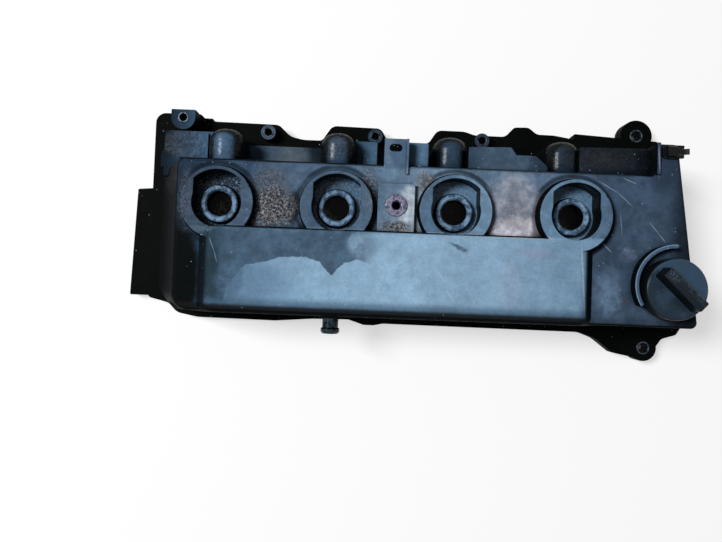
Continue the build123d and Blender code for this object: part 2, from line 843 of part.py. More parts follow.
with BuildPart() as plate:
    with BuildSketch(Plane.XY.offset(plate_bottom_z)):
        with Locations((chamber_mid_x, chamber_mid_y + plate_clearance / 2)):
            Rectangle(chamber_length, chamber_depth - plate_clearance)
        fillet(vertices(), plate_corner)
    extrude(amount=plate_thickness)
    # stiffening ribs on the lower face
    with BuildSketch(Plane.XY.offset(plate_bottom_z)):
        with Locations(*[(x + screw_step / 2, chamber_mid_y) for x in screw_x[:-1]]):
            Rectangle(plate_rib_width, chamber_depth - 4 * post_radius)
        with Locations((chamber_mid_x, chamber_mid_y)):
            Rectangle(screw_step * (screw_count - 1), plate_rib_width)
    extrude(amount=-plate_rib_height)
    # drain slots beside the ribs, gas inlet and screw holes
    with BuildSketch(Plane.XY.offset(plate_top_z)):
        with Locations(*[(x + screw_step / 4, chamber_mid_y - chamber_depth / 5) for x in screw_x[:-1]]):
            SlotOverall(drain_length, drain_width)
        with Locations((screw_x[-1] - screw_step / 4, chamber_mid_y + chamber_depth / 5)):
            Circle(inlet_radius)
        with Locations(*screw_places):
            Circle(screw_radius + screw_hole_clearance)
    extrude(amount=-plate_thickness, mode=Mode.SUBTRACT)
plate.part.label = "separator_plate"

with BuildPart() as screws:
    with BuildSketch(Plane.XY.offset(plate_bottom_z)):
        with Locations(*screw_places):
            Circle(screw_radius)
    extrude(amount=screw_length)
    with BuildSketch(Plane.XY.offset(plate_bottom_z)):
        with Locations(*screw_places):
            Circle(screw_head_radius)
    extrude(amount=-screw_head_height)
    chamfer(screws.edges().group_by(Axis.Z)[0], screw_head_height / 4)
screws.part.label = "plate_screws"

# ---- oil filler cap -----------------------------------------------------------------------

with BuildPart() as cap_gasket:
    with BuildSketch(Plane.XY.offset(neck_top_z)):
        with Locations(filler):
            Circle(neck_radius - gasket_clearance)
            Circle(neck_bore_radius + gasket_clearance, mode=Mode.SUBTRACT)
    extrude(amount=cap_gasket_thickness)
cap_gasket.part.label = "cap_gasket"

cap_seat_z = neck_top_z + cap_gasket_thickness
with BuildPart() as cap:
    with BuildSketch(Plane.XY.offset(cap_skirt_z)):
        with Locations(filler):
            Circle(cap_radius)
    extrude(amount=cap_top_z - cap_skirt_z)
    fillet(cap.edges().group_by(Axis.Z)[-1], cap_rim_round)
    # the tall grip bar, drafted, with softened corners
    grip_length = 2 * cap_radius - grip_end_gap
    for level, spread in ((cap_top_z - 1, 2 * grip_draft), (cap_top_z + grip_height, 0)):
        with BuildSketch(Plane.XY.offset(level)):
            with Locations(Location((*filler, 0), (0, 0, grip_angle))):
                RectangleRounded(grip_length + spread, grip_width + spread, grip_corner)
    loft()
    fillet(cap.edges().group_by(Axis.Z)[-1], grip_round)
    # hollow under the disc: the skirt outside, the hollow plug inside the neck
    with BuildSketch(Plane.XY.offset(cap_skirt_z)):
        with Locations(filler):
            Circle(cap_radius - cap_wall)
    extrude(amount=cap_seat_z - cap_skirt_z, mode=Mode.SUBTRACT)
    with BuildSketch(Plane.XY.offset(cap_seat_z)):
        with Locations(filler):
            Circle(neck_bore_radius - cap_plug_clearance)
    extrude(amount=-cap_plug_depth)
    with BuildSketch(Plane.XY.offset(cap_seat_z - cap_plug_depth)):
        with Locations(filler):
            Circle(neck_bore_radius - cap_plug_clearance - cap_wall)
    extrude(amount=cap_plug_depth + cap_top_z - cap_seat_z - 2 * cap_wall, mode=Mode.SUBTRACT)
cap.part.label = "filler_cap"

# ---- hose stub and harness clip -----------------------------------------------------------

stub_plane = Plane(origin=(stub_x, stub_inner_y, stub_z), x_dir=(1, 0, 0), z_dir=(0, 0, -1))
with BuildPart() as stub:
    with BuildSketch(stub_plane):
        with BuildLine():
            FilletPolyline(
                (stub_bore_radius, 0),
                (stub_root_radius, 0),
                (stub_root_radius, stub_root_length),
                (stub_radius, stub_root_length),
                (stub_radius, stub_bead_from),
                (stub_bead_radius, stub_bead_from + stub_bead_ramp),
                (stub_bead_radius, stub_bead_from + stub_bead_ramp + stub_bead_crown),
                (stub_radius, stub_length),
                (stub_bore_radius, stub_length),
                radius=[0, 0, 0, 0, 0, 0, 0, metal_edge, 0],
                close=True,
            )
        make_face()
    revolve(axis=Axis(stub_plane.origin, stub_plane.y_dir))
stub.part.label = "hose_stub"

with BuildPart() as clip:
    # base plate with its stem in the deck and two small lugs over the edge
    with BuildSketch(Plane.XY.offset(deck_z)):
        with Locations(clip_place):
            RectangleRounded(clip_length, clip_width, clip_corner)
    extrude(amount=clip_thickness)
    with BuildSketch(Plane.XY.offset(deck_z)):
        with Locations((clip_edge_x, clip_place[1] + clip_lug_y), (clip_edge_x, clip_place[1] - clip_lug_y)):
            Rectangle(clip_lug_length, clip_lug_width)
    extrude(amount=clip_thickness + 1)
    with BuildSketch(Plane.XY.offset(deck_z)):
        with Locations(clip_place):
            Circle(clip_stem_radius)
    extrude(amount=-clip_stem_length)
    chamfer(clip.edges().group_by(Axis.Z)[0], 1)
    # saddle over the strap, open to the left and right
    with BuildSketch(Plane.YZ.offset(clip_place[0] - saddle_length / 2)):
        with Locations((clip_place[1], saddle_mid_z)):
            RectangleRounded(saddle_width, saddle_height, 2 * strap_thickness)
        with Locations((clip_place[1], strap_z)):
            Rectangle(
                strap_width + 2 * strap_clearance,
                strap_thickness + strap_clearance,
                align=(Align.CENTER, Align.MIN),
                mode=Mode.SUBTRACT,
            )
    extrude(amount=saddle_length)
clip.part.label = "harness_clip"

with BuildPart() as strap:
    with BuildSketch(Plane.XZ.offset(-clip_place[1] - strap_width / 2)):
        with BuildLine():
            FilletPolyline(
                (strap_start_x, strap_z),
                (strap_bend_x, strap_z),
                (strap_end_x, strap_z + strap_rise),
                (strap_end_x - strap_thickness / 2, strap_z + strap_rise + strap_thickness),
                (strap_bend_x, strap_z + strap_thickness),
                (strap_start_x, strap_z + strap_thickness),
                radius=[0, 3, 0, 0, 4, 0],
                close=True,
            )
        make_face()
    extrude(amount=strap_width)
strap.part.label = "clip_strap"

# ---- one file for each piece --------------------------------------------------------------

os.makedirs("parts", exist_ok=True)
pieces = [cover, gasket, *well_seals, *sleeves, insert, plate, screws, cap_gasket, cap, stub, clip, strap]
for piece in pieces:
    export_step(piece.part, f"parts/{piece.part.label}.step")
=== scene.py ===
"""Finish, stage and light for a used valve cover moulded in black nylon."""

import math

import bmesh
import bpy
from bpy.props import FloatProperty, FloatVectorProperty, PointerProperty
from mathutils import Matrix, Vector


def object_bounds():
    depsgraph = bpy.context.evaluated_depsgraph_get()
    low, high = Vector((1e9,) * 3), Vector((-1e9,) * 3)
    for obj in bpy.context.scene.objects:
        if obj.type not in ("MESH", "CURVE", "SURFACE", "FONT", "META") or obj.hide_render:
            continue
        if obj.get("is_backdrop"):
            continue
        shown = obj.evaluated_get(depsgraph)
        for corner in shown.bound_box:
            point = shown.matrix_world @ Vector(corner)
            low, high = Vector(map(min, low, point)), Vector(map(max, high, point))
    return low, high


bl_info = {
    "name": "Engine valve cover",
    "version": (1, 0, 0),
    "blender": (4, 5, 0),
    "location": "View3D > Sidebar > Valve cover",
    "description": "Finishes, dirt, stage and light of a used moulded valve cover",
    "category": "Object",
}

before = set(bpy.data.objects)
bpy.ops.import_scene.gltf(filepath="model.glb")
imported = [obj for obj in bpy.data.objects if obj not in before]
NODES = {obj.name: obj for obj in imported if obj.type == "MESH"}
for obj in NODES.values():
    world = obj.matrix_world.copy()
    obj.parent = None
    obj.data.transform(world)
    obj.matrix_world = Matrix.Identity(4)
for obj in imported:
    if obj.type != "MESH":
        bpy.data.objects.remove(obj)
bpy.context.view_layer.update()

MM = 0.001

# the camera looks almost straight down on the row of wells; place in metres, turn in degrees
CAMERA_PLACE = (-0.028128, -0.062027, 0.511427)
CAMERA_TURN = (1.44909, -0.304749, 2.212634)
SENSOR_WIDTH = 36.0

# the stage, in metres: the softbox hangs far off over the left end
FLOOR_SIZE = 8.0
SOFTBOX_SIZE = 1.2
SOFTBOX_PLACE = (-2.42, 0.77, 3.09)
SOFTBOX_AIM = (0, 0, 0.05)
# the floor's own glow gives way to painted shade where the part stands nearer above it than this
WELL_SHADE_REACH = 0.3
# how much of the floor is its own even white; the rest takes the shadow
FLOOR_GLOW = 0.6

# places on the moulding, in millimetres
WELL_PITCH = 96.0
FIRST_WELL_X = -144.0
WELLS_END_X = 190.0
POCKET_RADIUS = 27.5
COLLAR_RADIUS = 31.5
FLANGE_Z = 12.0
DECK_Z = 67.0
COLLAR_Z = 73.0
PLENUM_Z = 75.0
PLENUM_BACK_Y = -18.0
CAP_PLACE = (222.3, -56.1)
GRIP_TURN = -43.4
GRIP_Z = 94.0
GUARD_PLACE = (225.2, -53.0)
GUARD_RADIUS = 29.9
LEFT_BLOCK = dict(at=(-184, 56, 32), half=(19, 13, 6), soft=0.15)
STRAP_TAIL = dict(at=(246.5, 57.5, 58), half=(5, 3, 6))
DOMES_Y = (43, 74)
DOMES_FROM_Z = (40, 44)
DOMES_TO_Z = (54, 57)

# left of this, the film behind the deck starts lower down
LOW_FILM_X = -75.0
# the front edge of the plenum: where painted shade darkens its rounding, where a deeper brown-black
# painted shade lies, and where that thins out
FRONT_EDGE_SHADE_Y = (-73, -80)
DEEP_FRONT_SHADE_Y = (-79.5, -83)
FRONT_SHADE_THINS_X = (150, 165)
# the pockets are dark with oil and painted shade on the left and dusty on the right
POCKETS_X = (-150, 60)
# oil has stained the foot of the walls brown, and fades out over these heights
OILY_WALL_Z = (4, 40)

# sizes of the patterns on the cover, in millimetres; its moulded grain and the grit are drawn
# coarser than real ones, so that they show
CLOUD_SIZE = 45
MOTTLE_SIZE = 8
DUST_SIZE = 2.2
GRIT_SIZE = 1.5
GRAIN_SIZE = 0.7
SWELL_SIZE = 16
SPECK_SPACING = 3.4
SLUDGE_SPACING = 3.2
# and on the cap, the clip, the rubber and the metal; rub marks and grit are drawn coarser too
BLOOM_SIZE = 14
RUB_SIZE = 0.9
SCUFF_SIZE = 1.8
OIL_SIZE = 5
RUBBER_GRIT_SIZE = 1.1
TARNISH_SIZE = 3
# near a wall, over this distance, the film gives way to bare black: grime and painted shade in the
# corner
CORNER_SHADE_REACH = 7.0
# scratches and worn edges with painted highlights, and how far above and below its level a line
# reaches
SCRATCH_HALF_WIDTH = 0.3
WORN_HIGHLIGHT_HALF_WIDTH = 0.7
LINE_HALF_HEIGHT = 3.0

# film of dust and oil along each level, with painted sheen and painted shade: (x, colour)
# its tone and its changes along the length are partly painted sky sheen, and its dark left ends are
# painted shade
SHELF_DUST_AND_SHEEN = [
    (-200, "#141f29"),
    (-165, "#3d566f"),
    (-144, "#415c76"),
    (-118, "#3e5166"),
    (-92, "#525d69"),
    (-70, "#2c3c4b"),
    (-52, "#263a4e"),
    (-20, "#3f5a71"),
    (0, "#4f6d84"),
    (22, "#4f6d88"),
    (34, "#26384a"),
    (58, "#2c4054"),
    (72, "#475c70"),
    (108, "#43566a"),
    (118, "#2a3a4b"),
    (145, "#18242f"),
    (180, "#121a23"),
    (215, "#10161d"),
]
DECK_DUST_AND_SHEEN = [
    (-185, "#18222c"),
    (-165, "#293d52"),
    (-118, "#3a5068"),
    (-70, "#4b6178"),
    (-20, "#566e86"),
    (25, "#7893ac"),
    (60, "#637c94"),
    (130, "#586e87"),
    (165, "#3b4c60"),
    (205, "#3e5065"),
    (222, "#364658"),
    (231, "#232e3a"),
    (242, "#1a232d"),
]
COLLAR_DUST_AND_SHEEN = [
    (-176, "#3b4b5e"),
    (-115, "#4c6077"),
    (-60, "#465b70"),
    (-20, "#4d6378"),
    (30, "#55708a"),
    (75, "#7796b1"),
    (118, "#6a8aa6"),
    (145, "#5f7d98"),
    (176, "#4c6078"),
]
PLENUM_DUST_AND_SHEEN = [
    (-150, "#3c5568"),
    (-110, "#7899b5"),
    (-60, "#88a9c3"),
    (20, "#8eafca"),
    (70, "#86a6c0"),
    (110, "#7f9db8"),
    (150, "#7493ae"),
]

# the tide mark that spilt oil left on the plenum: (x, y) along its edge
TIDE_EDGE = [
    (-150.0, -90.0),
    (-137.0, -88.0),
    (-132.0, -67.0),
    (-125.0, -57.0),
    (-119.0, -49.5),
    (-101.0, -46.0),
    (-92.0, -42.4),
    (-70.0, -41.6),
    (-59.0, -45.6),
    (-54.0, -51.5),
    (-49.7, -55.5),
    (-45.0, -50.0),
    (-40.0, -45.5),
    (-30.0, -42.0),
    (-19.5, -45.0),
    (-12.5, -42.0),
    (10.0, -10.0),
]
(TIDE_FROM_X, TIDE_FRONT_Y), (TIDE_TO_X, TIDE_BACK_Y) = TIDE_EDGE[0], TIDE_EDGE[-1]
# where its dark side ends on the right, and where it is darker still on the left
TIDE_FADES_X = (-34, -13)
TIDE_DARKENS_X = (-152, -122)

# irregular patches: centre and half sizes in millimetres, turn in degrees
PATCHES = {
    "oily end of the plenum": dict(
        at=(-148, -50, 75), half=(7, 36, 3), turn=0, soft=0.5, colour="#25363f", strength=0.9
    ),
    "dry wash on the plenum": dict(
        at=(-108, -64, 75), half=(26, 15, 3), turn=-6, soft=0.5, colour="#6583a0", strength=0.85
    ),
    "its darker streak": dict(
        at=(-126, -60, 75), half=(6, 18, 3), turn=-14, soft=0.5, colour="#4a657d", strength=0.7
    ),
    "thin oil right of the tide": dict(
        at=(-26, -31, 75), half=(13, 10, 3), turn=0, soft=0.35, colour="#6b869d", strength=0.75
    ),
    "pale square in it": dict(
        at=(-31, -28, 75), half=(6, 8, 3), turn=4, soft=0.25, colour="#7d99b2", strength=0.5
    ),
    "dark back strip of the plenum": dict(
        at=(-70, -19.5, 75), half=(78, 3.0, 3), turn=-0.5, soft=0.4, colour="#4f6a80", strength=0.5
    ),
    "square tint near the right end": dict(
        at=(92, -57, 75), half=(9, 19, 3), turn=-2, soft=0.2, colour="#96a5bf", strength=0.4
    ),
    "lilac stain behind it": dict(
        at=(112, -32, 75), half=(16, 4.5, 3), turn=-4, soft=0.5, colour="#8b93ad", strength=0.5
    ),
    "pale scuff on the front edge": dict(
        at=(-88, -80.5, 75), half=(5, 2.2, 3), turn=0, soft=0.5, colour="#9fb3c6", strength=0.7
    ),
    "another along it": dict(
        at=(-44, -80.5, 75), half=(8, 1.8, 3), turn=0, soft=0.5, colour="#93a9bd", strength=0.6
    ),
    "black smear": dict(
        at=(50, -29, 75), half=(7, 1.1, 2), turn=-26, soft=0.5, colour="#34475a", strength=0.8
    ),
    "end of the smear": dict(
        at=(55.5, -31.5, 75), half=(2.2, 1.2, 2), turn=8, soft=0.5, colour="#34475a", strength=0.8
    ),
    "sand between the two right wells": dict(
        at=(97, 7, 67), half=(20, 26, 6), turn=8, soft=0.35, colour="#9a9eac", strength=0.85
    ),
    "pale sand along the plenum there": dict(
        at=(99, -12, 67), half=(23, 9, 6), turn=3, soft=0.4, colour="#d6d3de", strength=0.97
    ),
    "dark stain in the sand": dict(
        at=(95, 15, 67), half=(7, 5, 6), turn=-10, soft=0.6, colour="#5d6472", strength=0.6
    ),
    # painted shadow that the fourth collar casts on the deck
    "painted purple shadow left of the fourth collar": dict(
        at=(114, -4, 67), half=(3.5, 17, 6), turn=-6, soft=0.5, colour="#3f3a4c", strength=0.75
    ),
    "worn patch left of the third well": dict(
        at=(19, 0, 67), half=(8, 23, 5), turn=0, soft=0.35, colour="#a9c1d4", strength=0.95
    ),
    "wiped streak there": dict(
        at=(17, -5, 67), half=(2.4, 13, 5), turn=3, soft=0.5, colour="#b9c3cc", strength=0.8
    ),
    "brown sand behind it": dict(
        at=(22, 23, 67), half=(7, 8, 5), turn=0, soft=0.5, colour="#77777e", strength=0.7
    ),
    # painted shadow that the second collar casts on the deck
    "painted shadow left of the second collar": dict(
        at=(-83, -2, 67), half=(5.2, 14, 6), turn=0, soft=0.2, colour="#0d1216", strength=0.95
    ),
    "clean deck behind it": dict(
        at=(-82, 22, 67), half=(9, 8, 5), turn=0, soft=0.5, colour="#55687b", strength=0.6
    ),
    "brown film between the left wells": dict(
        at=(-100, 18, 67), half=(14, 14, 5), turn=0, soft=0.5, colour="#4c5664", strength=0.7
    ),
    "brushed grime left of the first well": dict(
        at=(-171, 3, 70), half=(5, 22, 8), turn=0, soft=0.4, colour="#33445a", strength=0.7
    ),
    "wash on the left shoulder": dict(
        at=(-160, -22, 72), half=(17, 3.2, 6), turn=5, soft=0.5, colour="#4e6072", strength=0.8
    ),
    "wiped top of the square boss": dict(
        at=(3, 2, 71), half=(13, 15, 3), turn=0, soft=0.3, colour="#7b92a6", strength=0.85
    ),
    "pale corner of the boss": dict(
        at=(9.5, 2, 71), half=(7.5, 17, 3), turn=0, soft=0.35, colour="#cbd8e5", strength=0.97
    ),
    "stained ring round the insert": dict(
        at=(1.2, 3.5, 71), half=(9.6, 9.6, 4), turn=0, soft=0.2, colour="#6d6674", strength=0.45
    ),
    "lilac strip behind the wells": dict(
        at=(-60, 36, 67), half=(70, 2.5, 4), turn=0, soft=0.5, colour="#45576b", strength=0.6
    ),
    "lighter front of the right deck": dict(
        at=(176, -62, 67), half=(11, 17, 5), turn=8, soft=0.6, colour="#657d98", strength=0.6
    ),
    "lilac blots on it": dict(
        at=(190, -30, 67), half=(6, 5, 5), turn=30, soft=0.6, colour="#66748f", strength=0.6
    ),
    "dark end beside the guard": dict(
        at=(188, -60, 67), half=(4.5, 18, 5), turn=8, soft=0.6, colour="#2b3a4a", strength=0.6
    ),
    "brown corner of the recess": dict(
        at=(170, 52, 52), half=(18, 9, 5), turn=0, soft=0.6, colour="#26282c", strength=0.6
    ),
    "brown dust between the left domes": dict(
        at=(-92, 53, 40), half=(18, 12, 12), turn=0, soft=0.5, colour="#2c2b2a", strength=0.3
    ),
    "red-brown speck": dict(
        at=(187.4, -66.7, 67), half=(1.6, 1.1, 3), turn=20, soft=0.4, colour="#5a3526", strength=0.9
    ),
    # oil and painted shade darken the left end of the plenum and its slopes
    "oil and painted shade on the left shoulder": dict(
        at=(-179, -60, 66), half=(23, 44, 24), turn=0, soft=0.2, colour="#090e0e", strength=1.0
    ),
    # painted shade on the deck's left edge, which faces away from the light
    "painted shade on the left edge of the deck": dict(
        at=(-189, 0, 60), half=(6, 50, 16), turn=0, soft=0.5, colour="#0c1211", strength=0.95
    ),
    "duller top of the bracket": dict(
        at=(3, 47, 67), half=(9, 14, 5), turn=0, soft=0.3, colour="#435c77", strength=0.85
    ),
    "shade on the back right corner": dict(
        at=(216, 42, 67), half=(11, 20, 5), turn=0, soft=0.4, colour="#222f3e", strength=0.8
    ),
    "paint dot on the left shoulder": dict(
        at=(-154, -28, 74), half=(1.1, 0.9, 4), turn=20, soft=0.3, colour="#a9bccd", strength=0.8
    ),
}

# coarse grit: centre and half sizes in millimetres
GRIT = {
    "between the left wells": dict(at=(-100, -2, 67), half=(17, 17, 6), strength=1.0),
    "thin grit behind that": dict(at=(-104, 20, 67), half=(13, 12, 6), strength=0.3),
    "right of the second well": dict(at=(-22, 8, 67), half=(8, 24, 6), strength=0.5),
    "left of the third well": dict(at=(24, 24, 67), half=(8, 8, 6), strength=0.6),
    "front of the square boss": dict(at=(0, -14, 71), half=(12, 5, 5), strength=0.9),
    "right of the first dome": dict(at=(-118, 52, 47), half=(14, 12, 9), strength=0.6),
    "left flank of the first collar": dict(at=(-170, 2, 70), half=(6, 23, 8), strength=0.25),
    "small block behind the bracket": dict(at=(-25, 49, 58), half=(10, 10, 5), strength=0.45),
    "on the second dome": dict(at=(-51, 55, 50), half=(14, 12, 12), strength=0.2),
    "sand speckled black": dict(at=(98, 0, 67), half=(12, 12, 6), strength=0.28),
}

# thin lines: start and end in millimetres, height, colour
LINES = {
    "scratch right of the middle of the plenum": ((31.5, -45.5), (41.5, -58), 75, "#b4c6d6"),
    "its lower half": ((41, -62.5), (48.5, -72), 75, "#b4c6d6"),
    "short scratch left of them": ((17, -36.5), (21, -43.5), 75, "#a8bdd0"),
    "scratch on the plenum's left edge": ((-148, -29), (-143.5, -39), 75, "#8299ad"),
    "its end": ((-143.5, -39), (-141, -48), 75, "#8299ad"),
    "scratch behind the fourth well": ((164, 30), (180, 21), 67, "#93a9bf"),
    "its right half": ((180, 21), (192, 10.5), 67, "#93a9bf"),
    "upright scratch on the right deck": ((182.5, 4.5), (184.5, -13.5), 67, "#7f93a8"),
    "slanting scratch above the cap": ((207, -2.5), (214, -11), 67, "#93a9bf"),
    "its end near the guard": ((214, -11), (220, -18), 67, "#93a9bf"),
    "scratch near the back edge": ((184.5, 33), (194.5, 29), 67, "#93a9bf"),
    "scratch under the fourth collar": ((168.5, -20.5), (176.5, -28), 67, "#9fb3c6"),
    "dark line behind the first well": ((-168, 34), (-144, 34), 67, "#10171d"),
    "dark line right of it": ((-132, 33.7), (-121, 34.2), 67, "#141c23"),
    "dark line behind the grit": ((-110, 34.6), (-94, 35.2), 67, "#141c23"),
    "dark spots below": ((-171, 29.7), (-161.5, 30.1), 67, "#151d25"),
}

# pale lines along edges that hands and rags reach: painted highlights, partly wear
BRIGHT_LINES = {
    "right end of the plenum": ((148.6, -25), (153.2, -79), 75, "#a9bfd3"),
    "back edge of the plenum, right half": ((26, -18.6), (122, -19.6), 75, "#c6d6e4"),
    "right edge of the recess": ((211.2, 63), (213.2, 36), 67, "#8b93b0"),
    "right edge of the square boss": ((15.6, -14), (14.8, 17), 71, "#8ea2b6"),
    "right edge of the bracket": ((9.3, 57), (9.6, 33), 67, "#7e93a8"),
    "back edge of the deck, right": ((20, 36.5), (118, 37.2), 67, "#6f8397"),
    "back edge of the deck, left": ((-118, 37.5), (-14, 37.0), 67, "#4d5f70"),
}


# ---- small helpers ------------------------------------------------------------------------


def linear(hex_colour, alpha=1.0):
    """An sRGB hex colour as linear RGBA."""
    parts = [int(hex_colour[i : i + 2], 16) / 255 for i in (1, 3, 5)]
    light = [part / 12.92 if part <= 0.04045 else ((part + 0.055) / 1.055) ** 2.4 for part in parts]
    return (*light, alpha)


def add(tree, kind, inputs=None, curve=None, stops=None, **settings):
    """Adds one node: an input that is a socket gets linked, and any other sets the node's own."""
    made = tree.nodes.new("ShaderNode" + kind)
    for name, value in settings.items():
        setattr(made, name, value)
    for key, value in (inputs or {}).items():
        if isinstance(value, bpy.types.NodeSocket):
            tree.links.new(value, made.inputs[key])
        else:
            made.inputs[key].default_value = value
    if curve:
        points = made.mapping.curves[0].points
        for x, y in curve[1:-1]:
            points.new(x, y)
        points[0].location, points[-1].location = curve[0], curve[-1]
        for point in points:
            point.handle_type = "VECTOR"
        made.mapping.update()
    if stops:
        ramp = made.color_ramp.elements
        while len(ramp) < len(stops):
            ramp.new(0.5)
        for element, (at, colour) in zip(ramp, stops):
            element.position, element.color = at, colour
    return made


def new_material(name):
    """An empty material with a Principled shader on its output."""
    material = bpy.data.materials.new(name)
    material.use_nodes = True
    tree = material.node_tree
    tree.nodes.clear()
    shader = add(tree, "BsdfPrincipled")
    output = add(tree, "OutputMaterial")
    tree.links.new(shader.outputs[0], output.inputs["Surface"])
    return material, tree, shader


def paint(material, *names):
    """Gives the material to CAD pieces."""
    for name in names:
        data = NODES[name].data
        data.materials.clear()
        data.materials.append(material)


def millimetres(tree):
    """Object coordinates in millimetres, and the object's own normal."""
    coord = add(tree, "TexCoord").outputs
    scaled = add(tree, "VectorMath", {0: coord["Object"], "Scale": 1 / MM}, operation="SCALE")
    return scaled.outputs[0], coord["Normal"]


def where(tree, *conditions):
    """1 where all the conditions hold. Each is a mask, or a value with the two levels that it rises
    smoothly between and, if they aren't 0 and 1, what it gives at each."""
    masks = []
    for condition in conditions:
        if isinstance(condition, tuple):
            rise = dict(enumerate(condition))
            condition = add(tree, "MapRange", rise, interpolation_type="SMOOTHSTEP").outputs[0]
        masks.append(condition)
    result = masks[0]
    for mask in masks[1:]:
        both = {0: result, 1: mask}
        result = add(tree, "Math", both, operation="MULTIPLY", use_clamp=True).outputs[0]
    return result


def most(tree, *values):
    """The greatest of some masks."""
    result = values[0]
    for value in values[1:]:
        result = add(tree, "Math", {0: result, 1: value}, operation="MAXIMUM").outputs[0]
    return result


def band(tree, value, low, high, soft):
    """1 where the value lies between low and high, with soft ends."""
    rise = where(tree, (value, low - soft, low + soft))
    return where(tree, rise, (value, high - soft, high + soft, 1.0, 0.0))


def laid_over(tree, below, above, *conditions):
    """The colour above laid over the one below where all the conditions hold."""
    mask = where(tree, *conditions)
    below, above = (linear(one) if isinstance(one, str) else one for one in (below, above))
    # a Mix node's sockets share names, so they go by number: 0 the mask, 6 and 7 the colours
    return add(tree, "Mix", {0: mask, 6: below, 7: above}, data_type="RGBA").outputs[2]


def tinted_along(tree, value, film):
    """A colour that changes along one direction, from (millimetres, hex colour) pairs."""
    low, high = film[0][0], film[-1][0]
    share = add(tree, "MapRange", {0: value, 1: low, 2: high}).outputs[0]
    stops = [((at - low) / (high - low), linear(colour)) for at, colour in film]
    return add(tree, "ValToRGB", {0: share}, stops=stops).outputs[0]


def wobble(tree, mm, amount, size):
    """The coordinates pushed about by noise, so that edges drawn on them are ragged."""
    spread = add(
        tree, "TexNoise", {"Vector": mm, "Scale": 1 / size, "Detail": 4.0, "Roughness": 0.6}
    )
    centred = add(
        tree, "VectorMath", {0: spread.outputs["Color"], 1: (0.5, 0.5, 0.5)}, operation="SUBTRACT"
    )
    pushed = add(
        tree, "VectorMath", {0: centred.outputs[0], "Scale": 2 * amount}, operation="SCALE"
    )
    return add(tree, "VectorMath", {0: mm, 1: pushed.outputs[0]}, operation="ADD").outputs[0]


def patch(tree, wobbled, at, half, turn=0.0, soft=0.4):
    """1 inside an ellipsoid about a place on the moulding, fading over its edge."""
    # vector arithmetic alone: with a Mapping node in every patch the shader outgrew its stack
    cos, sin = math.cos(math.radians(turn)), math.sin(math.radians(turn))
    away = add(tree, "VectorMath", {0: wobbled, 1: at}, operation="SUBTRACT").outputs[0]
    aside = add(tree, "VectorMath", {0: away, 1: (0, 0, 1)}, operation="CROSS_PRODUCT").outputs[0]
    aside = add(
        tree, "VectorMath", {0: aside, 1: (sin / half[0], sin / half[1], 0)}, operation="MULTIPLY"
    ).outputs[0]
    scale = (cos / half[0], cos / half[1], 1 / half[2])
    local = add(
        tree, "VectorMath", {0: away, 1: scale, 2: aside}, operation="MULTIPLY_ADD"
    ).outputs[0]
    reach = add(tree, "VectorMath", {0: local}, operation="LENGTH")
    return where(tree, (reach.outputs["Value"], 1 - soft, 1 + soft, 1.0, 0.0))


def line(tree, wobbled, start, end, height, half_width):
    """1 on a thin straight line at a height."""
    middle = ((start[0] + end[0]) / 2, (start[1] + end[1]) / 2, height)
    reach = math.hypot(end[0] - start[0], end[1] - start[1]) / 2
    turn = math.degrees(math.atan2(end[1] - start[1], end[0] - start[0]))
    return patch(tree, wobbled, middle, (reach, half_width, LINE_HALF_HEIGHT), turn)


def dented(tree, shader, height, depth, strength, edge_radius, samples):
    """Softens the edges and lays dents of a depth over the surface, both in millimetres."""
    edges = add(tree, "Bevel", {"Radius": edge_radius * MM}, samples=samples).outputs[0]
    dents = add(
        tree,
        "Bump",
        {"Height": height, "Distance": depth * MM, "Strength": strength, "Normal": edges},
    ).outputs[0]
    tree.links.new(dents, shader.inputs["Normal"])


def looked_at(tree):
    """1 on a ray that meets the eye: straight, in a reflection or through something clear."""
    path = add(tree, "LightPath").outputs
    return most(tree, path["Is Camera Ray"], path["Is Glossy Ray"], path["Is Transmission Ray"])


# ---- materials ----------------------------------------------------------------------------


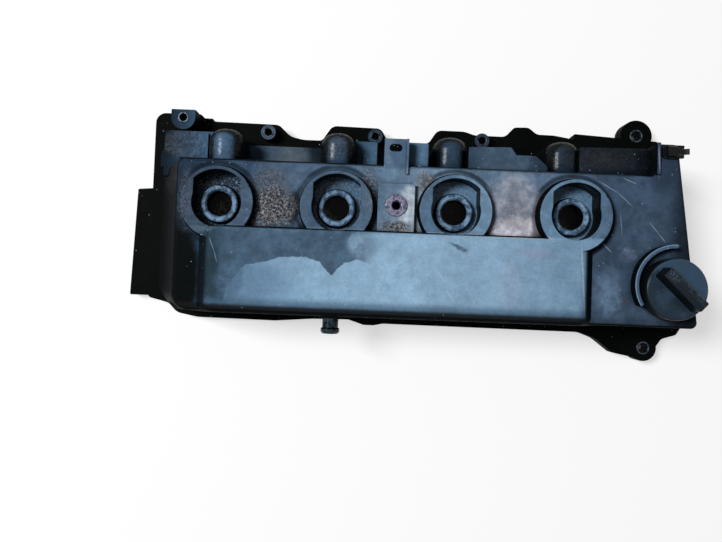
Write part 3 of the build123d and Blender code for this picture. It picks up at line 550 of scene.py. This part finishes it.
def moulded_nylon(look):
    """Glass-filled nylon 66, injection moulded: black. Oil has drawn dust onto every upward face as
    a blue-grey film, which also carries painted sky sheen and painted shade; grit and sand lie
    between the wells, and the walls stay black."""
    material, tree, shader = new_material("Nylon 66 with glass fibre, moulded, oily and dusty")
    mm, normal = millimetres(tree)
    x, y, z = add(tree, "SeparateXYZ", {0: mm}).outputs
    up = add(tree, "SeparateXYZ", {0: normal}).outputs["Z"]

    cloud = add(
        tree, "TexNoise", {"Vector": mm, "Scale": 1 / CLOUD_SIZE, "Detail": 6.0, "Roughness": 0.62}
    ).outputs[0]
    mottle = add(
        tree, "TexNoise", {"Vector": mm, "Scale": 1 / MOTTLE_SIZE, "Detail": 6.0, "Roughness": 0.68}
    ).outputs[0]
    fine = add(
        tree, "TexNoise", {"Vector": mm, "Scale": 1 / DUST_SIZE, "Detail": 4.0, "Roughness": 0.7}
    ).outputs[0]
    grit = add(
        tree,
        "TexNoise",
        {
            "Vector": mm,
            "Scale": 1 / GRIT_SIZE,
            "Detail": 3.0,
            "Roughness": 0.75,
            "Distortion": 0.6,
        },
    ).outputs[0]
    ragged = wobble(tree, mm, 4.5, 12)
    fine_ragged = wobble(tree, mm, 1.5, 4)
    barely_ragged = wobble(tree, mm, 0.35, 5)

    # distance from the nearest well's axis, on the stretch that has wells
    along = add(
        tree,
        "Math",
        {0: x, 1: FIRST_WELL_X + WELL_PITCH / 2, 2: FIRST_WELL_X + 3 * WELL_PITCH / 2},
        operation="WRAP",
    ).outputs[0]
    along = add(
        tree, "Math", {0: along, 1: FIRST_WELL_X + WELL_PITCH}, operation="SUBTRACT"
    ).outputs[0]
    flat = add(tree, "CombineXYZ", {0: along, 1: y}).outputs[0]
    from_well = add(tree, "VectorMath", {0: flat}, operation="LENGTH").outputs["Value"]
    by_wells = band(tree, x, FIRST_WELL_X - WELL_PITCH / 2 + 4, WELLS_END_X, 1)

    # the film on each level, from the flange up
    at_shelf = most(
        tree,
        where(tree, (z, FLANGE_Z + 3, FLANGE_Z + 16)),
        where(tree, (z, FLANGE_Z + 1, FLANGE_Z + 7), (x, LOW_FILM_X + 7, LOW_FILM_X - 7)),
    )
    at_deck = where(tree, (z, DECK_Z - 7, DECK_Z - 3))
    at_collar = where(
        tree,
        (z, COLLAR_Z - 2, COLLAR_Z - 1.2),
        by_wells,
        (from_well, COLLAR_RADIUS + 1, COLLAR_RADIUS + 3, 1, 0),
    )
    at_plenum = where(
        tree, (z, DECK_Z + 3, PLENUM_Z - 1.5), (y, PLENUM_BACK_Y - 1, PLENUM_BACK_Y + 1, 1, 0)
    )
    # the flange below the shelf is near black: oil, and painted shade
    film = laid_over(tree, "#060908", tinted_along(tree, x, SHELF_DUST_AND_SHEEN), at_shelf)
    film = laid_over(tree, film, tinted_along(tree, x, DECK_DUST_AND_SHEEN), at_deck)
    # a dark ring on the deck round the foot of each collar: dirt in the corner and painted shade
    dirty_shaded_collar_foot = where(
        tree,
        by_wells,
        band(tree, from_well, COLLAR_RADIUS, COLLAR_RADIUS + 3.5, 1.2),
        (z, COLLAR_Z - 3, COLLAR_Z - 2, 1, 0),
        at_deck,
    )
    film = laid_over(tree, film, "#141c23", dirty_shaded_collar_foot, 0.75)
    film = laid_over(tree, film, tinted_along(tree, x, COLLAR_DUST_AND_SHEEN), at_collar)
    film = laid_over(tree, film, tinted_along(tree, x, PLENUM_DUST_AND_SHEEN), at_plenum)

    # dark oily side of the tide mark
    tide_x = add(tree, "MapRange", {0: x, 1: TIDE_FROM_X, 2: TIDE_TO_X}).outputs[0]
    span_x, span_y = TIDE_TO_X - TIDE_FROM_X, TIDE_BACK_Y - TIDE_FRONT_Y
    edge = [((px - TIDE_FROM_X) / span_x, (py - TIDE_FRONT_Y) / span_y) for px, py in TIDE_EDGE]
    tide = add(tree, "FloatCurve", {"Value": tide_x}, curve=edge).outputs[0]
    tide_y = add(tree, "MapRange", {0: tide, 3: TIDE_FRONT_Y, 4: TIDE_BACK_Y}).outputs[0]
    ragged_y = add(tree, "SeparateXYZ", {0: fine_ragged}).outputs["Y"]
    past = add(tree, "Math", {0: ragged_y, 1: tide_y}, operation="SUBTRACT").outputs[0]
    dark_side = where(tree, (past, -0.5, 0.7), (x, *TIDE_FADES_X, 1, 0), at_plenum)
    slate = laid_over(tree, "#2d4150", "#42586c", (x, *TIDE_DARKENS_X))
    film = laid_over(tree, film, slate, dark_side, 0.94)

    # named patches, broken up by noise
    broken = where(tree, (mottle, 0.3, 0.62, 0.55, 1.0))
    for stain in PATCHES.values():
        mask = patch(tree, ragged, stain["at"], stain["half"], stain["turn"], stain["soft"])
        mask = where(tree, mask, stain["strength"])
        if stain["strength"] < 1:
            mask = where(tree, mask, broken)
        film = laid_over(tree, film, stain["colour"], mask)

    # painted shade on the rounded front edge of the plenum, deeper and brown-black at its very
    # front and along the deck
    front_y = add(tree, "SeparateXYZ", {0: barely_ragged}).outputs["Y"]
    front_edge_shade = where(tree, (front_y, *FRONT_EDGE_SHADE_Y))
    film = laid_over(tree, film, "#466179", front_edge_shade, at_plenum, 0.8)
    deep_front_shade = where(tree, (front_y, *DEEP_FRONT_SHADE_Y))
    thinning = (x, *FRONT_SHADE_THINS_X, 0.95, 0.25)
    film = laid_over(tree, film, "#1b1b1a", deep_front_shade, at_deck, thinning)

    # the guard rib before the cap: dull on top, with a painted highlight along its inner edge
    from_guard = add(
        tree, "VectorMath", {0: mm, 1: (*GUARD_PLACE, 0)}, operation="SUBTRACT"
    ).outputs[0]
    from_guard = add(
        tree, "VectorMath", {0: from_guard, 1: (1, 1, 0)}, operation="MULTIPLY"
    ).outputs[0]
    from_guard = add(tree, "VectorMath", {0: from_guard}, operation="LENGTH").outputs["Value"]
    on_guard = where(
        tree,
        band(tree, from_guard, GUARD_RADIUS - 2.2, GUARD_RADIUS + 2.2, 0.2),
        (z, DECK_Z + 1, DECK_Z + 2),
    )
    film = laid_over(tree, film, "#4a6078", on_guard)
    inner_edge_highlight = band(tree, from_guard, GUARD_RADIUS - 1.6, GUARD_RADIUS - 0.6, 0.3)
    film = laid_over(tree, film, "#8ea9c3", on_guard, inner_edge_highlight, 0.8)

    # the film's own variation: cloudy over the whole, mottled close to
    lighter = add(tree, "HueSaturation", {"Value": 1.22, "Color": film}).outputs[0]
    darker = add(tree, "HueSaturation", {"Value": 0.74, "Color": film}).outputs[0]
    variation = add(tree, "Math", {0: mottle, 1: cloud}, operation="ADD").outputs[0]
    calm = where(tree, at_plenum, (dark_side, 0.2, 0.8, 1, 0))
    variation = add(tree, "Mix", {0: where(tree, calm, 0.55), 2: variation, 3: 1.0}).outputs[0]
    film = laid_over(tree, darker, lighter, (variation, 0.78, 1.22))

    # grit: black and brown-grey grains
    gritty = None
    for heap in GRIT.values():
        mask = patch(tree, ragged, heap["at"], heap["half"], soft=0.45)
        mask = where(tree, mask, heap["strength"])
        gritty = mask if gritty is None else most(tree, gritty, mask)
    grains = add(
        tree,
        "ValToRGB",
        {0: grit},
        stops=[
            (0.36, linear("#14181b")),
            (0.47, linear("#3c4045")),
            (0.56, linear("#77797f")),
            (0.68, linear("#b4b1b1")),
        ],
    ).outputs[0]
    film = laid_over(tree, film, grains, gritty, (fine, 0.25, 0.5, 0.65, 1.0))

    # oil, grit and painted shade in the pockets
    in_pocket = where(
        tree,
        by_wells,
        (from_well, POCKET_RADIUS - 1, POCKET_RADIUS + 1, 1, 0),
        (z, COLLAR_Z - 2, COLLAR_Z - 1, 1, 0),
    )
    pocket = laid_over(tree, "#14212e", "#587590", (x, *POCKETS_X))
    pocket = laid_over(tree, pocket, "#6a879f", (grit, 0.5, 0.66))
    pocket = laid_over(tree, pocket, "#0b1015", (fine, 0.42, 0.3))
    film = laid_over(tree, film, pocket, in_pocket)

    # thin lines, worn edges with painted highlights, and pale specks
    for start, end, height, colour in LINES.values():
        mark = line(tree, barely_ragged, start, end, height, SCRATCH_HALF_WIDTH)
        film = laid_over(tree, film, colour, mark, 0.6)
    for start, end, height, colour in BRIGHT_LINES.values():
        mark = line(tree, barely_ragged, start, end, height, WORN_HIGHLIGHT_HALF_WIDTH)
        film = laid_over(tree, film, colour, mark, (fine, 0.3, 0.6, 0.3, 0.9))
    dots = add(tree, "TexVoronoi", {"Vector": mm, "Scale": 1 / SPECK_SPACING})
    chance = add(tree, "SeparateColor", {0: dots.outputs["Color"]}).outputs[0]
    chosen = where(tree, (chance, 0.87, 0.89))
    speck = where(tree, (dots.outputs["Distance"], 0.08, 0.15, 1, 0), chosen)
    film = laid_over(tree, film, "#b4c6d6", speck, 0.6)

    # bare plastic: black, browner low down where oil has run
    bare = laid_over(tree, "#0d0c0a", (*look.moulding_colour, 1.0), (z, *OILY_WALL_Z))
    bare = laid_over(tree, bare, "#5d6b78", speck, 0.35)

    # the film lies on faces that look up; near walls it gives way to bare black as grime and
    # painted shade, but not in the pockets
    openness = add(tree, "AmbientOcclusion", {"Distance": CORNER_SHADE_REACH * MM}, samples=5).outputs["AO"]
    clear_of_corner_shade = where(tree, (openness, 0.35, 0.75))
    level_face = where(tree, (up, 0.74, 0.97))
    thickness = where(tree, (fine, 0.2, 0.6, 0.82, 1.0))
    covered = where(tree, level_face, most(tree, clear_of_corner_shade, in_pocket), thickness)
    colour = laid_over(tree, bare, film, covered)
    tree.links.new(colour, shader.inputs["Base Color"])

    # dusty walls are dull; oil lies wet in the pockets, on the domes and over the left block
    left_block = patch(tree, fine_ragged, **LEFT_BLOCK)
    domes = where(tree, band(tree, y, *DOMES_Y, 2), (z, *DOMES_FROM_Z), (z, *DOMES_TO_Z, 1, 0))
    wet = most(tree, in_pocket, left_block, where(tree, domes, 0.8))
    # 2 and 3 are the Mix node's two numbers
    rough = add(tree, "Mix", {0: where(tree, (mottle, 0.3, 0.7)), 2: 0.42, 3: 0.6}).outputs[0]
    rough = add(tree, "Mix", {0: gritty, 2: rough, 3: 0.9}).outputs[0]
    rough = add(tree, "Mix", {0: wet, 2: rough, 3: 0.3}).outputs[0]
    tree.links.new(rough, shader.inputs["Roughness"])
    shader.inputs["IOR"].default_value = 1.53
    shader.inputs["Specular IOR Level"].default_value = 0.01
    tree.links.new(where(tree, wet, (fine, 0.35, 0.6, 0.05, 0.3)), shader.inputs["Coat Weight"])
    shader.inputs["Coat Roughness"].default_value = 0.2
    shader.inputs["Coat IOR"].default_value = 1.47

    # softened edges, moulded grain, leathery sludge on the left block, and grit that stands proud
    edges = add(tree, "Bevel", {"Radius": look.edge_radius}, samples=4).outputs[0]
    grain = add(
        tree, "TexNoise", {"Vector": mm, "Scale": 1 / GRAIN_SIZE, "Detail": 2.0, "Roughness": 0.6}
    ).outputs[0]
    swell = add(
        tree, "TexNoise", {"Vector": mm, "Scale": 1 / SWELL_SIZE, "Detail": 1.0, "Roughness": 0.6}
    ).outputs[0]
    waves = add(
        tree, "Bump", {"Height": swell, "Distance": 0.25 * MM, "Strength": 0.35, "Normal": edges}
    ).outputs[0]
    texture = add(
        tree, "Bump", {"Height": grain, "Distance": 0.05 * MM, "Strength": 0.5, "Normal": waves}
    ).outputs[0]
    hide = add(
        tree,
        "TexVoronoi",
        {"Vector": fine_ragged, "Scale": 1 / SLUDGE_SPACING},
        feature="SMOOTH_F1",
    ).outputs["Distance"]
    sludge = most(tree, left_block, where(tree, domes, 0.35))
    lumpy = add(
        tree,
        "Bump",
        {
            "Height": where(tree, hide, sludge),
            "Distance": 1.6 * MM,
            "Strength": 0.9,
            "Normal": texture,
        },
    ).outputs[0]
    proud = most(tree, gritty, where(tree, in_pocket, 0.5))
    raised = add(
        tree,
        "Bump",
        {
            "Height": where(tree, grit, proud),
            "Distance": 1.0 * MM,
            "Strength": 0.9,
            "Normal": lumpy,
        },
    ).outputs[0]
    tree.links.new(raised, shader.inputs["Normal"])
    return material


def cap_nylon(look):
    """Nylon 6, moulded in a polished tool: glossy black with a thin blue-grey bloom and pale rub
    marks."""
    material, tree, shader = new_material("Nylon 6, moulded, glossy and rubbed")
    mm, normal = millimetres(tree)
    up = add(tree, "SeparateXYZ", {0: normal}).outputs["Z"]
    local = add(
        tree,
        "Mapping",
        {"Vector": mm, "Location": (*CAP_PLACE, 0.0), "Rotation": (0, 0, math.radians(GRIP_TURN))},
        vector_type="TEXTURE",
    ).outputs[0]
    _, across, height = add(tree, "SeparateXYZ", {0: local}).outputs
    cloud = add(
        tree, "TexNoise", {"Vector": mm, "Scale": 1 / BLOOM_SIZE, "Detail": 6.0, "Roughness": 0.65}
    ).outputs[0]
    rub = add(
        tree, "TexNoise", {"Vector": mm, "Scale": 1 / RUB_SIZE, "Detail": 4.0, "Roughness": 0.75}
    ).outputs[0]
    top = where(tree, (height, GRIP_Z - 8, GRIP_Z - 4))
    far_half = where(tree, (across, -1, 2))
    bloom = laid_over(tree, "#1b2934", "#2e4458", far_half)
    bloom = laid_over(tree, bloom, "#354b60", (cloud, 0.4, 0.65), 0.5)
    bloom = laid_over(tree, bloom, "#101b24", top)
    rubbed = most(
        tree,
        patch(tree, local, (-16, 1.5, GRIP_Z), (8, 4.5, 6), soft=0.5),
        patch(tree, local, (2, 4.2, GRIP_Z), (20, 1.0, 6), soft=0.5),
        where(tree, patch(tree, local, (8, 3, GRIP_Z), (14, 3, 6), soft=0.6), 0.5),
    )
    pale = where(tree, rubbed, (rub, 0.48, 0.66), 0.5)
    bloom = laid_over(tree, bloom, "#7e8e9d", pale)
    scuffs = where(tree, (rub, 0.66, 0.74), 0.4)
    bloom = laid_over(tree, bloom, "#6f8294", scuffs)
    colour = laid_over(tree, (*look.cap_colour, 1.0), bloom, (up, 0.6, 0.97))
    tree.links.new(colour, shader.inputs["Base Color"])
    rough = add(tree, "Mix", {0: where(tree, (cloud, 0.35, 0.65)), 2: 0.22, 3: 0.4}).outputs[0]
    tree.links.new(rough, shader.inputs["Roughness"])
    shader.inputs["IOR"].default_value = 1.53
    shader.inputs["Specular IOR Level"].default_value = 0.1
    dented(tree, shader, rub, depth=0.04, strength=0.5, edge_radius=0.7, samples=6)
    return material


def clip_nylon(look):
    """Nylon 66, moulded, of the harness clip and its strap: black, brittle, with grey scuffs on the
    strap's tail."""
    material, tree, shader = new_material("Nylon 66, moulded, aged and scuffed")
    mm, _ = millimetres(tree)
    scuff = add(
        tree, "TexNoise", {"Vector": mm, "Scale": 1 / SCUFF_SIZE, "Detail": 4.0, "Roughness": 0.7}
    ).outputs[0]
    tail = patch(tree, mm, **STRAP_TAIL)
    colour = laid_over(tree, (*look.clip_colour, 1.0), "#2a323a", (scuff, 0.6, 0.75))
    colour = laid_over(tree, colour, "#8d969e", tail, (scuff, 0.4, 0.6))
    tree.links.new(colour, shader.inputs["Base Color"])
    rough = add(tree, "Mix", {0: scuff, 2: 0.2, 3: 0.5}).outputs[0]
    tree.links.new(rough, shader.inputs["Roughness"])
    shader.inputs["IOR"].default_value = 1.53
    shader.inputs["Specular IOR Level"].default_value = 0.12
    dented(tree, shader, scuff, depth=0.3, strength=0.5, edge_radius=0.3, samples=4)
    return material


def seal_rubber(look):
    """Nitrile rubber, compression moulded: dull black, wet with oil and specked with grit."""
    material, tree, shader = new_material("Nitrile rubber, moulded, oily")
    mm, normal = millimetres(tree)
    up = add(tree, "SeparateXYZ", {0: normal}).outputs["Z"]
    cloud = add(
        tree, "TexNoise", {"Vector": mm, "Scale": 1 / OIL_SIZE, "Detail": 5.0, "Roughness": 0.65}
    ).outputs[0]
    grit = add(
        tree,
        "TexNoise",
        {"Vector": mm, "Scale": 1 / RUBBER_GRIT_SIZE, "Detail": 3.0, "Roughness": 0.75},
    ).outputs[0]
    wet = laid_over(tree, "#34495e", "#7494b4", (cloud, 0.4, 0.6))
    wet = laid_over(tree, wet, "#8ba2b6", (grit, 0.56, 0.68), 0.7)
    wet = laid_over(tree, wet, "#0a0e12", (grit, 0.42, 0.32), 0.8)
    colour = laid_over(tree, (*look.rubber_colour, 1.0), wet, (up, 0.35, 0.95))
    tree.links.new(colour, shader.inputs["Base Color"])
    rough = add(tree, "Mix", {0: where(tree, (cloud, 0.35, 0.65)), 2: 0.3, 3: 0.6}).outputs[0]
    tree.links.new(rough, shader.inputs["Roughness"])
    shader.inputs["IOR"].default_value = 1.52
    shader.inputs["Specular IOR Level"].default_value = 0.06
    dented(tree, shader, grit, depth=0.4, strength=0.7, edge_radius=0.5, samples=6)
    return material


def turned_metal(name, bright, dull, rough_low, rough_high):
    """Turned metal: bright where it is worn, dulled in patches by oil."""
    material, tree, shader = new_material(name)
    mm, _ = millimetres(tree)
    cloud = add(
        tree,
        "TexNoise",
        {"Vector": mm, "Scale": 1 / TARNISH_SIZE, "Detail": 5.0, "Roughness": 0.65},
    ).outputs[0]
    colour = laid_over(tree, dull, bright, (cloud, 0.38, 0.62))
    tree.links.new(colour, shader.inputs["Base Color"])
    worn = where(tree, (cloud, 0.35, 0.65))
    rough = add(tree, "Mix", {0: worn, 2: rough_high, 3: rough_low}).outputs[0]
    tree.links.new(rough, shader.inputs["Roughness"])
    shader.inputs["Metallic"].default_value = 1.0
    dented(tree, shader, cloud, depth=0.1, strength=0.4, edge_radius=0.2, samples=4)
    return material


# ---- settings -----------------------------------------------------------------------------


class CoverLook(bpy.types.PropertyGroup):
    """Sizes and colours of the finish and the stage."""

    moulding_colour: FloatVectorProperty(
        name="Cover",
        description="Colour of the bare plastic of the cover",
        default=linear("#070a0c")[:3],
        size=3,
        subtype="COLOR",
    )
    cap_colour: FloatVectorProperty(
        name="Cap",
        description="Colour of the bare plastic of the filler cap",
        default=linear("#07090b")[:3],
        size=3,
        subtype="COLOR",
    )
    clip_colour: FloatVectorProperty(
        name="Clip",
        description="Colour of the harness clip and its strap",
        default=linear("#060708")[:3],
        size=3,
        subtype="COLOR",
    )
    rubber_colour: FloatVectorProperty(
        name="Rubber",
        description="Colour of the seals where no oil lies on them",
        default=linear("#050607")[:3],
        size=3,
        subtype="COLOR",
    )
    edge_radius: FloatProperty(
        name="Edges",
        description="Radius that the cover's edges look rounded with",
        default=0.9 * MM,
        min=0.0,
        unit="LENGTH",
    )
    softbox_power: FloatProperty(
        name="Softbox",
        description="Power of the large light over the left end",
        default=182.0,
        min=0.0,
        unit="POWER",
    )
    fill: FloatProperty(
        name="Fill",
        description="Strength of the surrounding light",
        default=0.12,
        min=0.0,
    )
    floor_colour: FloatVectorProperty(
        name="Floor",
        description="Colour of the floor",
        default=linear("#fbfbfb")[:3],
        size=3,
        subtype="COLOR",
    )
    lens: FloatProperty(
        name="Lens",
        description="Focal length of the camera",
        default=27.424,
        unit="CAMERA",
    )


# ---- operators ----------------------------------------------------------------------------


class OBJECT_OT_cover_moulding(bpy.types.Operator):
    """Finish the moulded cover and its separator plate"""

    bl_idname = "object.cover_moulding"
    bl_label = "Cover moulding"

    def execute(self, context):
        paint(moulded_nylon(context.scene.cover_look), "cover_body", "separator_plate")
        return {"FINISHED"}


class OBJECT_OT_cover_seals(bpy.types.Operator):
    """Finish the rubber seals and gaskets"""

    bl_idname = "object.cover_seals"
    bl_label = "Seals and gaskets"

    def execute(self, context):
        names = [name for name in NODES if name.startswith("well_seal")]
        paint(seal_rubber(context.scene.cover_look), "perimeter_gasket", "cap_gasket", *names)
        return {"FINISHED"}


class OBJECT_OT_cover_metal(bpy.types.Operator):
    """Finish the sleeves, the insert, the screws and the hose stub"""

    bl_idname = "object.cover_metal"
    bl_label = "Sleeves, insert and stub"

    def execute(self, context):
        steel = turned_metal("Mild steel, turned, oily", "#4c5762", "#171b1f", 0.28, 0.55)
        brass = turned_metal("Brass, turned, stained", "#7f7e92", "#3f3d52", 0.3, 0.6)
        plated = turned_metal("Steel, zinc plated", "#c3c6c8", "#8e9295", 0.25, 0.4)
        dark = turned_metal("Steel tube, drawn and blackened", "#2c3b42", "#0c1114", 0.14, 0.3)
        paint(steel, *[name for name in NODES if "sleeve" in name])
        paint(brass, "centre_insert")
        paint(plated, "plate_screws")
        paint(dark, "hose_stub")
        return {"FINISHED"}


class OBJECT_OT_cover_cap(bpy.types.Operator):
    """Finish the oil filler cap, the harness clip and its strap"""

    bl_idname = "object.cover_cap"
    bl_label = "Filler cap and clip"

    def execute(self, context):
        paint(cap_nylon(context.scene.cover_look), "filler_cap")
        paint(clip_nylon(context.scene.cover_look), "harness_clip", "clip_strap")
        return {"FINISHED"}


class OBJECT_OT_cover_stage(bpy.types.Operator):
    """Set the floor, the light and the camera"""

    bl_idname = "object.cover_stage"
    bl_label = "Stage"

    def execute(self, context):
        scene = context.scene
        look = scene.cover_look
        low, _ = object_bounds()

        # floor: white to the eye, grey where the part's shadow falls on it
        shape = bmesh.new()
        bmesh.ops.create_grid(shape, x_segments=1, y_segments=1, size=FLOOR_SIZE)
        bmesh.ops.translate(shape, vec=(0.0, 0.0, low[2]), verts=shape.verts)
        data = bpy.data.meshes.new("floor")
        shape.to_mesh(data)
        shape.free()
        floor = bpy.data.objects.new("floor", data)
        scene.collection.objects.link(floor)
        floor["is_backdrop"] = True
        material, tree, shader = new_material("Paper sweep, matt")
        shader.inputs["Base Color"].default_value = (*look.floor_colour, 1.0)
        shader.inputs["Roughness"].default_value = 1.0
        shader.inputs["Specular IOR Level"].default_value = 0.0
        seen = looked_at(tree)
        # the part stands close over it, so its glow gives way to painted shade, dark where it is
        # seen through the wells
        openness = add(
            tree, "AmbientOcclusion", {"Distance": WELL_SHADE_REACH}, samples=8
        ).outputs["AO"]
        glow = where(tree, (openness, 0.1, 0.4))
        white = add(tree, "Emission", {"Color": (1, 1, 1, 1), "Strength": glow})
        share = where(tree, seen, FLOOR_GLOW)
        lit = add(tree, "MixShader", {0: share, 1: shader.outputs[0], 2: white.outputs[0]})
        output = next(node for node in tree.nodes if node.bl_idname == "ShaderNodeOutputMaterial")
        tree.links.new(lit.outputs[0], output.inputs["Surface"])
        data.materials.append(material)

        # one large softbox, and an even, weak surrounding light that is white to the eye
        light = bpy.data.lights.new("softbox", "AREA")
        light.shape = "RECTANGLE"
        light.size, light.size_y = SOFTBOX_SIZE, SOFTBOX_SIZE
        light.energy = look.softbox_power
        box = bpy.data.objects.new("softbox", light)
        box.location = SOFTBOX_PLACE
        aim = Vector(SOFTBOX_AIM) - box.location
        box.rotation_euler = aim.to_track_quat("-Z", "Y").to_euler()
        scene.collection.objects.link(box)

        world = bpy.data.worlds.new("studio")
        world.use_nodes = True
        tree = world.node_tree
        tree.nodes.clear()
        seen = looked_at(tree)
        around = add(tree, "Background", {"Color": (1, 1, 1, 1), "Strength": look.fill})
        white = add(tree, "Background", {"Color": (1, 1, 1, 1), "Strength": 1.0})
        mix = add(tree, "MixShader", {0: seen, 1: around.outputs[0], 2: white.outputs[0]})
        output = add(tree, "OutputWorld")
        tree.links.new(mix.outputs[0], output.inputs["Surface"])
        scene.world = world

        lens = bpy.data.cameras.new("camera")
        lens.sensor_width = SENSOR_WIDTH
        lens.lens = look.lens
        camera = bpy.data.objects.new("camera", lens)
        camera.location = CAMERA_PLACE
        camera.rotation_euler = [math.radians(turn) for turn in CAMERA_TURN]
        scene.collection.objects.link(camera)
        scene.camera = camera
        scene.view_settings.view_transform = "Standard"
        return {"FINISHED"}


class VIEW3D_PT_valve_cover(bpy.types.Panel):
    """Lists the looks and the operators"""

    bl_label = "Valve cover"
    bl_space_type = "VIEW_3D"
    bl_region_type = "UI"
    bl_category = "Valve cover"

    def draw(self, context):
        for name in CoverLook.__annotations__:
            self.layout.prop(context.scene.cover_look, name)
        for operator in OPERATORS:
            self.layout.operator(operator.bl_idname)


OPERATORS = (
    OBJECT_OT_cover_moulding,
    OBJECT_OT_cover_seals,
    OBJECT_OT_cover_metal,
    OBJECT_OT_cover_cap,
    OBJECT_OT_cover_stage,
)


def register():
    for kind in (CoverLook, *OPERATORS, VIEW3D_PT_valve_cover):
        bpy.utils.register_class(kind)
    bpy.types.Scene.cover_look = PointerProperty(type=CoverLook)


def unregister():
    del bpy.types.Scene.cover_look
    for kind in reversed((CoverLook, *OPERATORS, VIEW3D_PT_valve_cover)):
        bpy.utils.unregister_class(kind)


def main():
    register()
    bpy.ops.object.cover_moulding()
    bpy.ops.object.cover_seals()
    bpy.ops.object.cover_metal()
    bpy.ops.object.cover_cap()
    bpy.ops.object.cover_stage()


if __name__ == "__main__":
    main()
